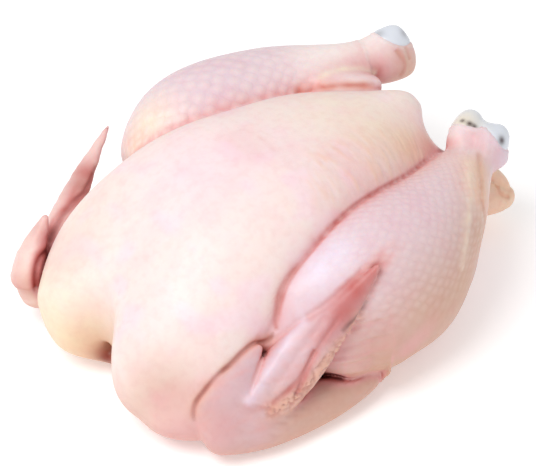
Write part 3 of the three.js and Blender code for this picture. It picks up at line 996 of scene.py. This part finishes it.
def skin_finish(name):
    """Moist skin. The tint attribute is mottled by two sizes of noise, 14 mm and 4 mm across, and the bumps
    round the follicles are paler than the skin between them. The shader lets light in under the surface."""
    material = bpy.data.materials.new(name)
    material.use_nodes = True
    nodes, links = material.node_tree.nodes, material.node_tree.links
    shader = nodes["Principled BSDF"]
    place_of = nodes.new("ShaderNodeTexCoord")
    tint = nodes.new("ShaderNodeVertexColor")
    tint.layer_name = "tint"
    lattice = nodes.new("ShaderNodeAttribute")
    lattice.attribute_name = "follicles"
    parts = nodes.new("ShaderNodeSeparateXYZ")
    links.new(lattice.outputs["Vector"], parts.inputs["Vector"])
    cells = nodes.new("ShaderNodeTexVoronoi")
    cells.voronoi_dimensions = "2D"
    cells.inputs["Scale"].default_value = 1
    cells.inputs["Randomness"].default_value = 0.35
    links.new(lattice.outputs["Vector"], cells.inputs["Vector"])
    bumps = ranged(nodes, links, cells.outputs["Distance"], 0.12, 0.55, 1, 0)
    bumps = times(nodes, links, bumps, parts.outputs["Z"])

    broad = ranged(nodes, links, noise_of(nodes, links, place_of, 70, 2), 0.45, 0.7, 0, 1)
    fine = ranged(nodes, links, noise_of(nodes, links, place_of, 260, 2), 0.45, 0.7, 0, 0.8)
    colour = blended(nodes, links, tint.outputs["Color"], (1.0, 0.93, 0.95), broad, "MULTIPLY")
    colour = blended(nodes, links, colour, (0.97, 0.93, 0.93), fine, "MULTIPLY")
    pale = ranged(nodes, links, bumps, 0, 1, 0, 0.4)
    colour = blended(nodes, links, colour, PALE, pale, "MIX")
    links.new(colour, shader.inputs["Base Color"])

    raised = nodes.new("ShaderNodeBump")
    raised.inputs["Strength"].default_value = 0.6
    raised.inputs["Distance"].default_value = 0.0006
    links.new(bumps, raised.inputs["Height"])
    grain = nodes.new("ShaderNodeBump")
    grain.inputs["Strength"].default_value = 0.25
    grain.inputs["Distance"].default_value = 0.0003
    links.new(noise_of(nodes, links, place_of, 650, 3), grain.inputs["Height"])
    links.new(raised.outputs["Normal"], grain.inputs["Normal"])
    links.new(grain.outputs["Normal"], shader.inputs["Normal"])
    shader.inputs["Roughness"].default_value = 0.42
    shader.inputs["Specular IOR Level"].default_value = 0.45
    shader.inputs["Subsurface Weight"].default_value = 0.2
    shader.inputs["Subsurface Radius"].default_value = (1.0, 0.4, 0.25)
    shader.inputs["Subsurface Scale"].default_value = 0.003
    return material


skin_material = skin_finish("raw skin")
skin.data.materials.append(skin_material)
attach(skin, "root")
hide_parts("chicken")

# ---------------------------------------------------------------------------------------------------
# The joint ends of the drumsticks. They are knobs of smooth wet cartilage that stand out of the cut skin,
# bluish white, with small dark pits where the blood vessels ended. The pits are not cut in: they are dark
# spots of paint, partly the vessels' own colour and partly painted shade. Each is the leg's end within a
# ball.
# ---------------------------------------------------------------------------------------------------
PROUD = 0.4  # how far the cartilage stands out from the leg's own surface
CUT_ROUND = 1.5
CARTILAGE = paint(226, 230, 238)
TALLOW = paint(240, 228, 208)
PIT = paint(70, 42, 40)

caps = np.full(whole.shape, FAR, np.float32)
for side_name, middle, radius in JOINT_ENDS:
    ball = np.sqrt(sum((axis - c) ** 2 for axis, c in zip((grid_x, grid_y, grid_z), middle))) - radius
    caps = joined(caps, -joined(PROUD - legs[side_name], -ball, CUT_ROUND), CUT_ROUND)

# Pits, partly painted shade, and paler places on them: centre, radius, colour and strength.
CAP_PATCHES = [
    ([102, -26, 79], 9, TALLOW, 0.9),
    ([104.7, 41.8, 92.6], 3.0, PIT, 0.35),
    ([116.5, 36.4, 91.4], 2.6, PIT, 0.35),
    ([118.6, 32.3, 84.6], 2.6, PIT, 0.35),
    ([102, -25.2, 78.4], 1.3, PIT, 0.9),
    ([103.4, -28.9, 77.8], 1.7, PIT, 1.0),
    ([104.6, -31, 76.8], 1.5, PIT, 1.0),
    ([112.2, -42.6, 71.6], 2.2, PIT, 1.0),
]

cap_points, cap_faces = smooth_net(caps)
cap_points = kept_inside(cap_points, BOX_LOW, BOX_HIGH, BOX_MARGIN)
cartilage = bpy.data.objects.new("cartilage", make_mesh("cartilage", (cap_points + SHIFT) * MM, cap_faces))
bpy.context.collection.objects.link(cartilage)
cap_colours = np.tile(CARTILAGE, (len(cap_points), 1))
for centre, radius, colour, strength in CAP_PATCHES:
    cap_colours = tinted(cap_colours, colour, strength * patch(cap_points, centre, radius))
set_colours(cartilage.data, cap_colours)


def cartilage_finish(name):
    """Wet cartilage: the tint attribute under a smooth, glossy surface that lets some light in."""
    material = bpy.data.materials.new(name)
    material.use_nodes = True
    nodes, links = material.node_tree.nodes, material.node_tree.links
    shader = nodes["Principled BSDF"]
    tint = nodes.new("ShaderNodeVertexColor")
    tint.layer_name = "tint"
    links.new(tint.outputs["Color"], shader.inputs["Base Color"])
    shader.inputs["Roughness"].default_value = 0.22
    shader.inputs["Specular IOR Level"].default_value = 0.5
    shader.inputs["Subsurface Weight"].default_value = 0.15
    shader.inputs["Subsurface Radius"].default_value = (0.8, 0.8, 1.0)
    shader.inputs["Subsurface Scale"].default_value = 0.002
    return material


cartilage.data.materials.append(cartilage_finish("wet cartilage"))
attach(cartilage, "root")
